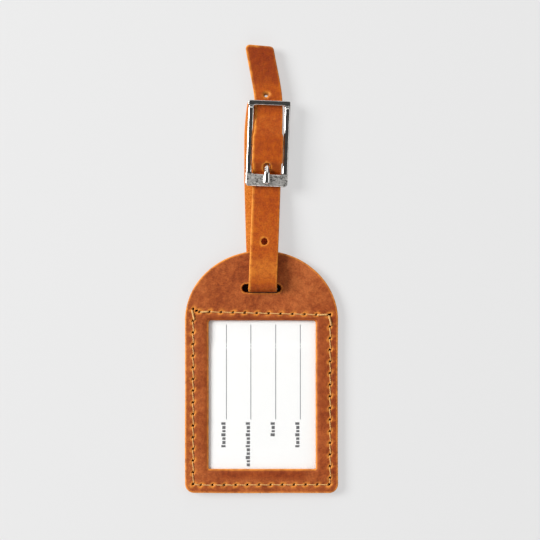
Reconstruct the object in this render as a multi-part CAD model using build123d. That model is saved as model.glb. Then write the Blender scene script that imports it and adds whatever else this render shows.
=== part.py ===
from build123d import *
import os

# Leather luggage tag with a buckled strap, lying on its back. Millimetres.
# While building, Y = 0 is the tag's bottom edge, +Y runs along the strap, +Z is the front.
# The export moves everything so that the origin is the bottom centre of the bounding box.

# ---- tag panels ----
TAG_WIDTH = 70.0
ARCH_CENTRE_Y = 79.2        # where the straight sides end and the half ellipse starts
ARCH_HEIGHT = 31.8
TAG_HEIGHT = ARCH_CENTRE_Y + ARCH_HEIGHT
CORNER_RADIUS = 4.2
BACK_THICKNESS = 2.0
FRONT_THICKNESS = 1.8
FRONT_BOTTOM = BACK_THICKNESS
FRONT_TOP = FRONT_BOTTOM + FRONT_THICKNESS
BACK_TOP_Y = 88.0           # the back panel stops below the strap slot

SLOT_CENTRE = (0.0, 93.8)
SLOT_LENGTH = 18.1
SLOT_HEIGHT = 4.0

WINDOW_LEFT = -24.2
WINDOW_RIGHT = 24.8
WINDOW_BOTTOM = 11.0
WINDOW_TOP = 79.0

# ---- card pocket ----
POCKET_HALF_WIDTH = 29.0
POCKET_BOTTOM = 6.5
POCKET_FLOOR = 0.95
SHEET_HALF_WIDTH = 33.0
SHEET_BOTTOM = 2.0
SHEET_TOP = 85.5
SHEET_THICKNESS = 0.25
SHEET_GAP = 0.02
CARD_HALF_WIDTH = 28.4
CARD_BOTTOM = 6.9
CARD_TOP = 80.4
CARD_THICKNESS = 0.28
CARD_GAP = 0.05

# ---- stitching ----
THREAD_RADIUS = 0.35
THREAD_LEG_RADIUS = 0.3
THREAD_GAP = 0.05
THREAD_PROUD = 0.3          # how far the front stitches stand out of the leather
THREAD_BACK_Z = THREAD_RADIUS + 0.03

# first hole, last hole, number of even steps, one odd hole at the end of the row
SIDE_ROWS = {
    "thread_left": ((-31.3, 4.25), (-31.3, 84.2), 15, None),
    "thread_right": ((31.4, 7.0), (31.4, 81.6), 14, (31.4, 4.75)),
    "thread_bottom": ((-27.7, 3.75), (30.9, 3.75), 11, (-30.4, 3.75)),
}
TOP_ROW = ((-23.9, 83.0), (30.6, 81.6), 10, (-28.2, 83.11))

# ---- strap ----
STRAP_THICKNESS = 1.5
SKIVED_THICKNESS = 1.0      # the turned end is thinned before it is folded
STRAP_CUT_HALF_WIDTH = 30.0
STRAP_FLOOR_Z = 0.05 + STRAP_THICKNESS / 2
SLOT_RUN_Y = 92.8
SLOT_TURN_RADIUS = 2.0
SLOT_TURN_Z = STRAP_FLOOR_Z + SLOT_TURN_RADIUS

# centreline of the front run seen from the side (Y, Z), and the bend radius at each inner point
FRONT_LINE = [
    (SLOT_RUN_Y, SLOT_TURN_Z),
    (SLOT_RUN_Y, 9.6),
    (137.5, 4.85),
    (146.5, 4.7),
    (151.4, 9.3),
    (163.0, 9.0),
    (172.0, 5.0),
    (182.0, 4.85),
    (206.5, 3.84),
]
FRONT_BENDS = [4.4, 25.0, 1.6, 2.2, 6.0, 6.0, 20.0]

# plan view of the front run: centre X, Y, half width
FRONT_PLAN = [
    (0.5, 88.0, 6.5),
    (0.6, 96.0, 6.5),
    (1.5, 118.0, 6.5),
    (2.35, 142.0, 6.45),
    (2.9, 157.0, 6.4),
    (3.5, 178.5, 6.3),
    (2.9, 184.0, 6.3),
    (-0.2, 199.0, 6.3),
    (-1.38, 206.5, 6.3),
]
# plan view of the back run, which bows out to the left under the front run
BACK_PLAN = [
    (0.5, 88.0, 6.5),
    (0.3, 96.0, 6.5),
    (-0.6, 111.0, 6.5),
    (-1.5, 143.0, 6.5),
    (-1.5, 166.0, 6.5),
    (-0.5, 176.0, 6.5),
    (0.6, 183.0, 6.5),
]
# plan view of the turned end between the top of the loop and the buckle
TURNED_PLAN = [
    (2.9, 154.0, 6.4),
    (3.0, 162.0, 6.3),
    (3.1, 172.0, 6.15),
    (1.1, 178.5, 6.4),
    (0.2, 183.0, 6.5),
]
TIP_Y = 204.8
TIP_CENTRE_X = -1.0
TIP_HALF_WIDTH = 6.3
TIP_LEAN = 8.0
TIP_END_SLOPE = -5.0        # the end is cut aslant, higher at its left corner
TIP_CORNER = 2.0

STRAP_HOLE_RADIUS = 1.55
LOWER_HOLE = (1.4, 115.1)
TIP_HOLE = (2.7, 182.4)
PRONG_HOLE_X = 2.55
PRONG_HOLE_WIDTH = 3.5
PRONG_HOLE_START = 146.6
PRONG_HOLE_END = 151.9

BEND_END_Y = 113.0          # the strap bends round the tag's top edge below this line
SLOT_PIECE_TOP_Z = 5.2
SLOT_PIECE_FRONT_Y = 100.0
SLOT_PIECE_END_Y = 97.0
TIP_BEND_START_Y = 180.0
TIP_BEND_END_Y = 184.3

# ---- buckle, in its own frame: origin at its centre, +Y along the strap ----
BUCKLE_CENTRE = (3.0, 159.7)
BUCKLE_TURN = -2.2          # the buckle sits slightly clockwise
BUCKLE_WIDTH = 19.2
BUCKLE_LENGTH = 39.2
BUCKLE_CORNER = 1.6
BUCKLE_INNER_CORNER = 1.2
BUCKLE_ROUNDING = 0.7
RAIL_WIDTH = 2.6
RAIL_BOTTOM = 4.6
RAIL_TOP = 7.6
LOWER_BAR_DEPTH = 5.7
UPPER_BAR_DEPTH = 2.1
BAR_BOTTOM = 5.9            # underside of both end bars, above the strap
CENTRE_BAR_Y = 0.9
CENTRE_BAR_Z = 5.7
CENTRE_BAR_RADIUS = 1.0
CENTRE_BAR_LENGTH = 17.6

PRONG_BORE_RADIUS = CENTRE_BAR_RADIUS + 0.06
PRONG_RING_RADIUS = 2.05
PRONG_WIDTH = 2.4
PRONG_TIP_WIDTH = 3.0
PRONG_THICKNESS = 1.5
PRONG_BEND_RADIUS = 4.0
PRONG_REST_GAP = 0.06
PRONG_FLARE_LENGTH = 8.0    # the shaft widens over this length to its tip
PRONG_ROOT_OVERLAP = 1.0    # how far the shaft runs into the ring
PRONG_KNEE_Y = -9.0
PRONG_REST_Y = -13.6
PRONG_TIP_Y = -18.1

# ---- turned end of the strap, in the buckle's frame (Y, Z) ----
TURN_JOIN_Y = 10.0          # where the turned end takes over from the back run
TURN_APEX_Y = 19.2
TURN_UPPER_Z = 3.1
FOLD_RADIUS = CENTRE_BAR_RADIUS + 0.05 + SKIVED_THICKNESS / 2
TURN_RISE_Y = 13.5
TURN_RISE_RADIUS = 4.0
SKIVE_START = (9.5, 4.1)
FOLD_FLAT_LENGTH = 2.4      # the turned end lies flat for this length before the centre bar
FOLD_START_RADIUS = 2.5
DOUBLED_KNEE = (6.6, 4.2)
DOUBLED_KNEE_RADIUS = 1.5
DOUBLED_END = (10.3, 2.75)
PRONG_NOTCH_WIDTH = 3.2
PRONG_NOTCH_Y = (-3.0, 3.7)
PRONG_NOTCH_Z = (3.0, 9.0)
FOLD_STITCH_Y = 8.4
FOLD_STITCH_HALF = 2.2
FOLD_STITCH_TOP_Z = 5.3
FOLD_STITCH_LOW_Z = 2.95
FOLD_STITCH_RADIUS = THREAD_RADIUS - 0.05

# ---- limits of the cutting blocks, outside everything they cut ----
CUT_HALF_WIDTH = 40.0
CUT_LOW_Z = -1.0
CUT_HIGH_Z = 20.0
CUT_BELOW_STRAP_Y = 80.0
CUT_BELOW_BUCKLE_Y = 150.0
CUT_BEYOND_TIP_Y = 230.0
RUN_OVERLAP = 2.0           # spare length past a cut


def block(x0, x1, y0, y1, z0, z1):
    """A box given by its limits."""
    centre = Pos((x0 + x1) / 2, (y0 + y1) / 2, (z0 + z1) / 2)
    return centre * Box(x1 - x0, y1 - y0, z1 - z0)


def span(y0, y1, z0=CUT_LOW_Z, z1=CUT_HIGH_Z):
    """A cutting block across the full width."""
    return block(-CUT_HALF_WIDTH, CUT_HALF_WIDTH, y0, y1, z0, z1)


def cutter(sketch):
    """A plan-view sketch as a cutting block of full height."""
    return upright(sketch, CUT_LOW_Z, CUT_HIGH_Z)


def upright(sketch, z0, z1):
    """A plan-view sketch extruded between two heights."""
    return Pos(0, 0, z0) * extrude(sketch, amount=z1 - z0)


def tag_outline():
    straight = Pos(0, ARCH_CENTRE_Y / 2) * Rectangle(TAG_WIDTH, ARCH_CENTRE_Y)
    corners = straight.vertices().sort_by(Axis.Y)[:2]
    arch = Pos(0, ARCH_CENTRE_Y) * Ellipse(TAG_WIDTH / 2, ARCH_HEIGHT)
    return fillet(corners, CORNER_RADIUS) + arch


def row_holes(row):
    """The stitch holes of one row, in order."""
    (x0, y0), (x1, y1), steps, odd = row
    holes = [(x0 + (x1 - x0) * i / steps, y0 + (y1 - y0) * i / steps) for i in range(steps + 1)]
    if odd:
        holes.insert(0, odd)
    return holes


def rod(start, end, radius):
    """A round rod between two points."""
    axis = Line(start, end)
    return sweep(Plane(origin=start, z_dir=axis % 0) * Circle(radius), path=axis)


def thread_row(row, front_z, back_z, gap):
    """One row of saddle stitching: a front run, a back run and a leg in every hole."""
    holes = row_holes(row)
    leg_radius = THREAD_LEG_RADIUS + gap
    leg_height = front_z - back_z
    runs = []
    for z in (front_z, back_z):
        runs.append(rod((*holes[0], z), (*holes[-1], z), THREAD_RADIUS + gap))
    solid = runs[0] + runs[1]
    for x, y in holes:
        solid += Pos(x, y, back_z + leg_height / 2) * Cylinder(leg_radius, leg_height)
    return solid


def plan_outline(stations):
    """A strap's plan-view outline from its centre stations, with smooth sides."""
    left = [(x - half, y) for x, y, half in stations]
    right = [(x + half, y) for x, y, half in stations]
    sides = Curve() + [
        Spline(*left),
        Line(left[-1], right[-1]),
        Spline(*reversed(right)),
        Line(right[0], left[0]),
    ]
    return make_face(sides)


def side_band(path, thickness):
    """A side view in (Y, Z), thickened about its centreline and drawn out along X."""
    band = Plane.YZ * trace(path, thickness)
    return extrude(band, amount=STRAP_CUT_HALF_WIDTH, both=True)


def in_buckle_frame(shape):
    return Pos(*BUCKLE_CENTRE) * Rot(0, 0, BUCKLE_TURN) * shape


# ---- panels, window sheet, card and stitching ----
front_thread_z = FRONT_TOP + THREAD_PROUD - THREAD_RADIUS
top_row_back_z = FRONT_BOTTOM - THREAD_RADIUS + SHEET_GAP
outline = tag_outline()
slot = Pos(*SLOT_CENTRE) * SlotOverall(SLOT_LENGTH, SLOT_HEIGHT)

threads = {}
thread_room = []
for name, row in SIDE_ROWS.items():
    threads[name] = thread_row(row, front_thread_z, THREAD_BACK_Z, 0)
    thread_room.append(thread_row(row, front_thread_z, THREAD_BACK_Z, THREAD_GAP))
threads["thread_top"] = thread_row(TOP_ROW, front_thread_z, top_row_back_z, 0)
thread_room.append(thread_row(TOP_ROW, front_thread_z, top_row_back_z, THREAD_GAP))

sheet_z = FRONT_BOTTOM + SHEET_GAP
sheet_room = block(
    -SHEET_HALF_WIDTH - THREAD_GAP,
    SHEET_HALF_WIDTH + THREAD_GAP,
    SHEET_BOTTOM - THREAD_GAP,
    SHEET_TOP + THREAD_GAP,
    FRONT_BOTTOM,
    sheet_z + SHEET_THICKNESS + SHEET_GAP,
)
front_panel = upright(outline, FRONT_BOTTOM, FRONT_TOP)
front_panel -= upright(slot, FRONT_BOTTOM, FRONT_TOP)
front_panel -= block(
    WINDOW_LEFT, WINDOW_RIGHT, WINDOW_BOTTOM, WINDOW_TOP, FRONT_BOTTOM, FRONT_TOP
)
front_panel -= sheet_room

back_panel = upright(outline, 0, BACK_THICKNESS)
back_panel -= block(-TAG_WIDTH, TAG_WIDTH, BACK_TOP_Y, 2 * TAG_HEIGHT, 0, BACK_THICKNESS)
back_panel -= block(
    -POCKET_HALF_WIDTH, POCKET_HALF_WIDTH, POCKET_BOTTOM, TAG_HEIGHT, POCKET_FLOOR, BACK_THICKNESS
)

window_sheet = block(
    -SHEET_HALF_WIDTH,
    SHEET_HALF_WIDTH,
    SHEET_BOTTOM,
    SHEET_TOP,
    sheet_z,
    sheet_z + SHEET_THICKNESS,
)
for room in thread_room:
    front_panel -= room
    back_panel -= room
    window_sheet -= room

card_z = POCKET_FLOOR + CARD_GAP
address_card = block(
    -CARD_HALF_WIDTH, CARD_HALF_WIDTH, CARD_BOTTOM, CARD_TOP, card_z, card_z + CARD_THICKNESS
)

# ---- strap ----
front_path = FilletPolyline(*FRONT_LINE, radius=FRONT_BENDS)
front_band = side_band(front_path, STRAP_THICKNESS)
front_run = front_band & cutter(plan_outline(FRONT_PLAN))

tip_sides = Rot(0, 0, TIP_LEAN) * Rectangle(2 * TIP_HALF_WIDTH, 4 * TIP_HALF_WIDTH)
beyond_end = Rot(0, 0, TIP_END_SLOPE) * Rectangle(
    2 * CUT_HALF_WIDTH, 2 * CUT_HALF_WIDTH, align=(Align.CENTER, Align.MIN)
)
tip_end = Pos(TIP_CENTRE_X, TIP_Y) * (tip_sides - beyond_end)
tip_end = fillet(tip_end.vertices().sort_by(Axis.Y)[2:], TIP_CORNER)
tip_start_y = TIP_Y - TIP_HALF_WIDTH
front_run -= span(tip_start_y, CUT_BEYOND_TIP_Y) - cutter(tip_end)

for x, y in (LOWER_HOLE, TIP_HOLE):
    front_run -= Pos(x, y) * Cylinder(STRAP_HOLE_RADIUS, 2 * CUT_HIGH_Z)
prong_hole = SlotOverall(PRONG_HOLE_END - PRONG_HOLE_START, PRONG_HOLE_WIDTH, rotation=90)
prong_hole_centre = Pos(PRONG_HOLE_X, (PRONG_HOLE_START + PRONG_HOLE_END) / 2)
front_run -= cutter(prong_hole_centre * prong_hole)

back_path = FilletPolyline(
    (SLOT_RUN_Y, SLOT_TURN_Z + RUN_OVERLAP),
    (SLOT_RUN_Y, STRAP_FLOOR_Z),
    (BUCKLE_CENTRE[1] + TURN_JOIN_Y + RUN_OVERLAP, STRAP_FLOOR_Z),
    radius=SLOT_TURN_RADIUS,
)
back_band = side_band(back_path, STRAP_THICKNESS)
back_run = back_band & cutter(plan_outline(BACK_PLAN))
back_run -= span(CUT_BELOW_STRAP_Y, SLOT_PIECE_FRONT_Y, SLOT_TURN_Z)
back_run -= in_buckle_frame(span(TURN_JOIN_Y, BUCKLE_LENGTH))

# The turned end: on from the back run, round the top of the loop, down over the centre bar,
# round it, and doubled back underneath itself.
turn_radius = (TURN_UPPER_Z - STRAP_FLOOR_Z) / 2
turn_centre_y = TURN_APEX_Y - turn_radius
turn_path = Curve() + [
    Line((TURN_JOIN_Y, STRAP_FLOOR_Z), (turn_centre_y, STRAP_FLOOR_Z)),
    ThreePointArc(
        (turn_centre_y, STRAP_FLOOR_Z),
        (TURN_APEX_Y, STRAP_FLOOR_Z + turn_radius),
        (turn_centre_y, TURN_UPPER_Z),
    ),
]
fold_lower_z = CENTRE_BAR_Z - FOLD_RADIUS
fold_upper_z = CENTRE_BAR_Z + FOLD_RADIUS
upper_path = FilletPolyline(
    (turn_centre_y, TURN_UPPER_Z),
    (TURN_RISE_Y, TURN_UPPER_Z),
    SKIVE_START,
    radius=TURN_RISE_RADIUS,
)
skived_path = FilletPolyline(
    SKIVE_START,
    (CENTRE_BAR_Y + FOLD_FLAT_LENGTH, fold_upper_z),
    (CENTRE_BAR_Y, fold_upper_z),
    radius=FOLD_START_RADIUS,
)
fold_arc = ThreePointArc(
    (CENTRE_BAR_Y, fold_upper_z),
    (CENTRE_BAR_Y - FOLD_RADIUS, CENTRE_BAR_Z),
    (CENTRE_BAR_Y, fold_lower_z),
)
doubled_path = FilletPolyline(
    (CENTRE_BAR_Y, fold_lower_z), DOUBLED_KNEE, DOUBLED_END, radius=DOUBLED_KNEE_RADIUS
)
lower_half = side_band(turn_path, STRAP_THICKNESS)
upper_half = side_band(upper_path, STRAP_THICKNESS)
for path in (skived_path, fold_arc, doubled_path):
    upper_half += side_band(path, SKIVED_THICKNESS)
split_z = STRAP_FLOOR_Z + turn_radius
below_split = span(CUT_BELOW_BUCKLE_Y, CUT_BEYOND_TIP_Y, CUT_LOW_Z, split_z)
above_split = span(CUT_BELOW_BUCKLE_Y, CUT_BEYOND_TIP_Y, split_z)
turned_end = in_buckle_frame(lower_half) & below_split & cutter(plan_outline(BACK_PLAN))
upper_turned = in_buckle_frame(lower_half + upper_half) & above_split
turned_end += upper_turned & cutter(plan_outline(TURNED_PLAN))
turned_end -= in_buckle_frame(
    block(-PRONG_NOTCH_WIDTH / 2, PRONG_NOTCH_WIDTH / 2, *PRONG_NOTCH_Y, *PRONG_NOTCH_Z)
)

# ---- stitches that hold the fold ----
def fold_stitch(side, radius):
    x0 = side * FOLD_STITCH_HALF
    x1 = side * 2 * FOLD_STITCH_HALF
    y = FOLD_STITCH_Y
    solid = rod((x0, y, FOLD_STITCH_TOP_Z), (x1, y, FOLD_STITCH_TOP_Z), radius)
    solid += rod((x0, y, FOLD_STITCH_LOW_Z), (x1, y, FOLD_STITCH_LOW_Z), radius)
    for x in (x0, x1):
        solid += rod((x, y, FOLD_STITCH_LOW_Z), (x, y, FOLD_STITCH_TOP_Z), radius)
        solid += Pos(x, y, FOLD_STITCH_LOW_Z) * Sphere(radius)
        solid += Pos(x, y, FOLD_STITCH_TOP_Z) * Sphere(radius)
    return solid


fold_thread = []
for side in (-1, 1):
    fold_thread.append(in_buckle_frame(fold_stitch(side, FOLD_STITCH_RADIUS)))
    turned_end -= in_buckle_frame(fold_stitch(side, FOLD_STITCH_RADIUS + THREAD_GAP))

# ---- the strap cut into the lengths that move on their own ----
in_slot = span(CUT_BELOW_STRAP_Y, SLOT_PIECE_FRONT_Y, CUT_LOW_Z, SLOT_PIECE_TOP_Z)
above_slot = span(CUT_BELOW_STRAP_Y, BEND_END_Y, SLOT_PIECE_TOP_Z)
strap_slot = front_run & in_slot
strap_slot += back_run & span(CUT_BELOW_STRAP_Y, SLOT_PIECE_END_Y)
strap_front_bend = front_run & above_slot
strap_front = front_run & span(BEND_END_Y, TIP_BEND_START_Y)
strap_tip_bend = front_run & span(TIP_BEND_START_Y, TIP_BEND_END_Y)
strap_tip = front_run & span(TIP_BEND_END_Y, CUT_BEYOND_TIP_Y)
strap_back_bend = back_run & span(SLOT_PIECE_END_Y, BEND_END_Y)
strap_back = back_run & span(BEND_END_Y, CUT_BEYOND_TIP_Y)

# ---- buckle ----
half_length = BUCKLE_LENGTH / 2
frame_sketch = RectangleRounded(BUCKLE_WIDTH, BUCKLE_LENGTH, BUCKLE_CORNER)
inner_length = BUCKLE_LENGTH - LOWER_BAR_DEPTH - UPPER_BAR_DEPTH
inner_y = (LOWER_BAR_DEPTH - UPPER_BAR_DEPTH) / 2
inner_width = BUCKLE_WIDTH - 2 * RAIL_WIDTH
frame_sketch -= Pos(0, inner_y) * RectangleRounded(
    inner_width, inner_length, BUCKLE_INNER_CORNER
)
buckle_frame = upright(frame_sketch, RAIL_BOTTOM, RAIL_TOP)
outer_edges = buckle_frame.faces().sort_by(Axis.Z)[-1].edges()
buckle_frame = fillet(outer_edges, BUCKLE_ROUNDING)
buckle_frame -= block(
    -inner_width / 2, inner_width / 2, -half_length, half_length, RAIL_BOTTOM, BAR_BOTTOM
)
bar_place = Pos(0, CENTRE_BAR_Y, CENTRE_BAR_Z) * Rot(0, 90, 0)
centre_bar = bar_place * Cylinder(CENTRE_BAR_RADIUS, CENTRE_BAR_LENGTH)
buckle_frame -= centre_bar

# ---- prong: a ring on the centre bar and a shaft that rests on the lower end bar ----
root_z = CENTRE_BAR_Z + PRONG_RING_RADIUS - PRONG_THICKNESS / 2
rest_z = RAIL_TOP + PRONG_REST_GAP + PRONG_THICKNESS / 2
prong_path = FilletPolyline(
    (CENTRE_BAR_Y, root_z),
    (PRONG_KNEE_Y, root_z),
    (PRONG_REST_Y, rest_z),
    (PRONG_TIP_Y, rest_z),
    radius=PRONG_BEND_RADIUS,
)
shaft_side = Plane.YZ * trace(prong_path, PRONG_THICKNESS)
shaft_plan = make_face(
    Polyline(
        (-PRONG_WIDTH / 2, CENTRE_BAR_Y + PRONG_ROOT_OVERLAP),
        (-PRONG_WIDTH / 2, PRONG_TIP_Y + PRONG_FLARE_LENGTH),
        (-PRONG_TIP_WIDTH / 2, PRONG_TIP_Y),
        (PRONG_TIP_WIDTH / 2, PRONG_TIP_Y),
        (PRONG_WIDTH / 2, PRONG_TIP_Y + PRONG_FLARE_LENGTH),
        (PRONG_WIDTH / 2, CENTRE_BAR_Y + PRONG_ROOT_OVERLAP),
        close=True,
    )
)
prong = extrude(shaft_side, amount=PRONG_TIP_WIDTH, both=True) & cutter(shaft_plan)
prong += bar_place * Cylinder(PRONG_RING_RADIUS, PRONG_WIDTH)
prong -= bar_place * Cylinder(PRONG_BORE_RADIUS, 2 * PRONG_WIDTH)

nodes = {
    "front_panel": front_panel,
    "back_panel": back_panel,
    "window_sheet": window_sheet,
    "address_card": address_card,
    **threads,
    "strap_slot": strap_slot,
    "strap_front_bend": strap_front_bend,
    "strap_back_bend": strap_back_bend,
    "strap_front": strap_front,
    "strap_back": strap_back,
    "strap_turned_end": turned_end,
    "strap_tip_bend": strap_tip_bend,
    "strap_tip": strap_tip,
    "fold_thread": Compound(children=fold_thread),
    "buckle_frame": in_buckle_frame(buckle_frame),
    "buckle_centre_bar": in_buckle_frame(centre_bar),
    "buckle_prong": in_buckle_frame(prong),
}

size = Compound(children=[Compound(shape.solids()) for shape in nodes.values()]).bounding_box()
to_origin = Pos(-size.center().X, -size.center().Y, -size.min.Z)
print("size", size.size, "shift", to_origin.position)

os.makedirs("parts", exist_ok=True)
for name, shape in nodes.items():
    solids = (to_origin * shape).solids()
    print(name, len(solids), [round(s.volume, 2) for s in solids])
    export_step(solids[0] if len(solids) == 1 else Compound(solids), f"parts/{name}.step")
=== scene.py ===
import math

import bpy
import numpy as np
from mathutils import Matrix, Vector, geometry, kdtree


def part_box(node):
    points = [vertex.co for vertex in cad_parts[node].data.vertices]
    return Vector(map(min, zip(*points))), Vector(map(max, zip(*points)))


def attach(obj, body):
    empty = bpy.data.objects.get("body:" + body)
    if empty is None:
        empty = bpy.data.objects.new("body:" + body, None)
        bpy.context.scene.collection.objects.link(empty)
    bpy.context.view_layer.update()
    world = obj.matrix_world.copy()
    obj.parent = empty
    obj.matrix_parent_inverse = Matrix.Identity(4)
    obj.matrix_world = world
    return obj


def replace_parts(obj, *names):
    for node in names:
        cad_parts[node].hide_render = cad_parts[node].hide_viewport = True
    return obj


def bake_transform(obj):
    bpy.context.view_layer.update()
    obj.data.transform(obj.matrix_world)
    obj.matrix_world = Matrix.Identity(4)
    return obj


# Leather luggage tag. Sizes are in millimetres, with Y = 0 at the tag's bottom edge,
# and to_metres() turns them into the row frame.

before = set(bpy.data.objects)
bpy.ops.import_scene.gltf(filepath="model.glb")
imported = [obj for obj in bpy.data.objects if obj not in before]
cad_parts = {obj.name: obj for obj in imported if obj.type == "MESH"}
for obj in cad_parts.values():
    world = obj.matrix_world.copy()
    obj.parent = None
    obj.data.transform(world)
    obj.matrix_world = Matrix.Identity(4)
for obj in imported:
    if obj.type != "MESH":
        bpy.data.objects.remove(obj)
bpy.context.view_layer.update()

MM = 0.001
TAG_BOTTOM_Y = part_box("front_panel")[0].y

# ---- tag panels ----
TAG_HALF_WIDTH = 35.0
ARCH_CENTRE_Y = 79.2
ARCH_HEIGHT = 31.8
CORNER_RADIUS = 4.2
PANEL_JOIN_Z = 2.0
FRONT_TOP_Z = 3.8
BACK_TOP_Y = 88.0
SLOT = (0.0, 93.8, 18.1, 4.0)  # centre X, centre Y, length, height
SLOT_BEHIND_STRAP = (-6.1, 7.1)  # the part of the slot that is cut through in the mesh
SLOT_FOOT = 0.65  # uncut leather at the slot's foot, pushed down and coloured as painted shade
SLOT_DROP = 2.9  # how far the leather is pushed down at the slot's uncut ends, which are coloured as painted shade
STRAP_IN_SLOT = (-6.2, 7.3)  # left and right side of the strap in the slot
SLOT_ZONE = (9.9, 2.7)  # half size of the fine mesh round the slot
WINDOW = (-24.2, 24.8, 11.0, 79.0)  # left, right, bottom, top
WINDOW_CORNERS = (0.35, 1.0, 1.0, 0.35)
WINDOW_TOP_EDGE = (-23.8, 24.4, 79.0, 79.6)  # a band of painted shade along the window's top edge
EDGE_DEPTHS = (0.12, 0.3, 0.55, 0.9)  # rings of points along a cut edge
POCKET_HALF_WIDTH = 29.0
POCKET_BOTTOM = 6.5
POCKET_FLOOR_Z = 0.95

# ---- stitch rows: first hole, last hole, even steps, odd hole before the first ----
ROWS = {
    "left": ((-31.3, 4.25), (-31.3, 84.2), 15, None),
    "right": ((31.4, 7.0), (31.4, 81.6), 14, (31.1, 4.1)),
    "bottom": ((-27.7, 3.75), (30.9, 3.95), 11, (-31.2, 4.15)),
    "top": ((-23.9, 83.0), (30.6, 81.6), 10, (-28.2, 83.0)),
}
# the top row goes through the front panel only, so that the pocket stays open at its top
BACK_ROWS = {name: ROWS[name] for name in ("left", "right", "bottom")}
SPARE_SLIT = (-29.7, 83.5)  # one slit too many, beside the top row
COLUMNS = ("left", "right")
DOUBLED = {"left": (14,), "right": (14,), "top": (0, 10)}  # stitches that are sewn twice
SLIT_LENGTH = 1.4
SLIT_WIDTH = 0.85
COLUMN_SLIT_ANGLE = 56.0
ROW_SLIT_ANGLE = 22.0
COLUMN_SLANT = -0.3  # how far a stitch starts beside its row
ROW_SLANT = 0.12
THREAD_RADIUS = 0.23
THREAD_PLIES = 3
THREAD_LAY = 1.3  # length of one turn of the plies
STITCH_START = 0.36  # from the middle of its slit
STITCH_END_DROP = 1.3
TOP_ROW_BACK_Z = PANEL_JOIN_Z - 0.1
BACK_STITCH_Z = 0.34

# ---- strap, seen from the side (Y, Z) and from above (plans: Y, then X at each) ----
STRAP_THICKNESS = 1.5
SKIVED_BY = 0.5  # the turned end is thinner by this much
SKIVED_LENGTH = 17
STRAP_FLOOR_Z = 0.8
SLOT_RUN_Y = 92.8
SLOT_TURN_Z = 2.8
SLOT_TURN_RADIUS = 1.98
FRONT_LINE = [
    (SLOT_RUN_Y, SLOT_TURN_Z), (SLOT_RUN_Y, 9.6), (137.5, 4.85), (146.5, 4.7), (151.4, 9.3),
    (163.0, 9.0), (172.0, 5.0), (182.0, 4.85), (206.3, 3.84),
]
FRONT_BENDS = [4.4, 25.0, 1.6, 2.2, 6.0, 6.0, 20.0]
FRONT_PLAN = (
    [88, 96, 118, 142, 157, 178.5, 184, 199, 208],
    [0.5, 0.6, 1.5, 2.35, 2.9, 3.5, 2.9, -0.1, -1.65],
)
TIP_SLANT = math.tan(math.radians(13))  # the strap's end is cut aslant, longer at its left
TIP_CORNER = 2.0
TIP_REACH = 5.5  # length of strap in which the cut and its corners lie
BACK_PLAN = ([88, 96, 111, 143, 166, 176, 183], [0.5, 0.3, -0.6, -1.5, -1.5, -0.5, 0.6])
TURNED_PLAN = ([154, 162, 172, 178.5, 183], [2.9, 3.0, 3.1, 1.1, 0.2])
TIP_YAW = 8.0  # lean of the strap's end, in degrees
FRONT_YAW = -1.5
YAW_FADE = (24, 34)  # from the strap's end, where its lean fades out
LOWER_HOLE_Y = 115.1
LOWER_HOLE_RADII = (1.65, 1.45)  # along and across the strap
TIP_HOLE_Y = 182.4
TIP_HOLE_W = -0.7  # across the strap from its middle
TIP_HOLE_RADII = (0.5, 0.7)
TIP_HOLE_OFFSET = (0.75, -0.2)  # the pinched hole in its round dimple
PRONG_HOLE_Y = (147.6, 150.95)
PRONG_HOLE_HALF_WIDTH = 1.65
NOTCH_FROM_END = 11.5  # the prong's notch in the fold
NOTCH_ENDS = (-2.8, 4.6)
NOTCH_HALF_WIDTH = 1.6
SPLIT_Y = 178.3  # where the tip's mesh meets the loop's

# ---- buckle, in its own frame ----
BUCKLE_CENTRE = (3.0, 159.7)
BUCKLE_TURN = math.radians(-2.2)
BUCKLE_HALF_WIDTH = 9.6
BUCKLE_HALF_LENGTH = 19.6
BUCKLE_CORNERS = (1.7, 0.9, 0.9, 1.7)  # bottom right, top right, top left, bottom left
RAIL_WIDTH = 2.6
LOWER_BAR_DEPTH = 5.7
UPPER_BAR_DEPTH = 2.1
RAIL_BOTTOM_Z = 4.6
RAIL_TOP_Z = 7.6
END_BAR_BOTTOM_Z = 5.9
BAR_Y = 0.9
BAR_Z = 5.7
BAR_RADIUS = 1.0
BAR_HALF_LENGTH = 8.8
BUCKLE_INNER_CORNER = 1.2
INNER_HALF_WIDTH = BUCKLE_HALF_WIDTH - RAIL_WIDTH
INNER_TOP = BUCKLE_HALF_LENGTH - UPPER_BAR_DEPTH
INNER_BOTTOM = -BUCKLE_HALF_LENGTH + LOWER_BAR_DEPTH
RAIL_ROUNDING = 0.7
LOWER_BAR_ROUNDING = 0.45
UPPER_BAR_ROUNDING = 0.25
JOINT_DEPTH = 0.3  # grooves across the rails below the upper bar
JOINT_FROM_BAR = 0.75
TURN_Y = 18.05  # the turned end: round, up over the bar, down, back
TURN_RADIUS = 1.15
TURNED_Z = 3.1
RISE_Y = (13.5, 3.3)
RISE_RADII = [4.0, 2.5]
FOLD_RADIUS = BAR_RADIUS + 0.55
DOUBLED_LINE = ((6.6, 4.2), (10.3, 2.75))
DOUBLED_RADIUS = 1.5
FOLD_STITCH_X = (-4.4, 2.2)
FOLD_STITCH_Y = 8.4
FOLD_STITCH_LENGTH = 2.2
FOLD_STITCH_Z = (2.9, 3.6, 5.25)  # below the fold, inside it, above it
FOLD_STITCH_RADIUS = 0.26
RING_RADIUS = 1.56  # middle of the prong's ring round the bar
PRONG_LINE_Y = (-9.0, -13.6, -18.1)  # end of its root, start of its rest on the bar, tip
PRONG_HALF_THICKNESS = 0.75
PRONG_ROOT_Z = BAR_Z + 2.05 - PRONG_HALF_THICKNESS
PRONG_REST_Z = RAIL_TOP_Z + 0.06 + PRONG_HALF_THICKNESS
PRONG_HALF_WIDTH = 1.2

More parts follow.
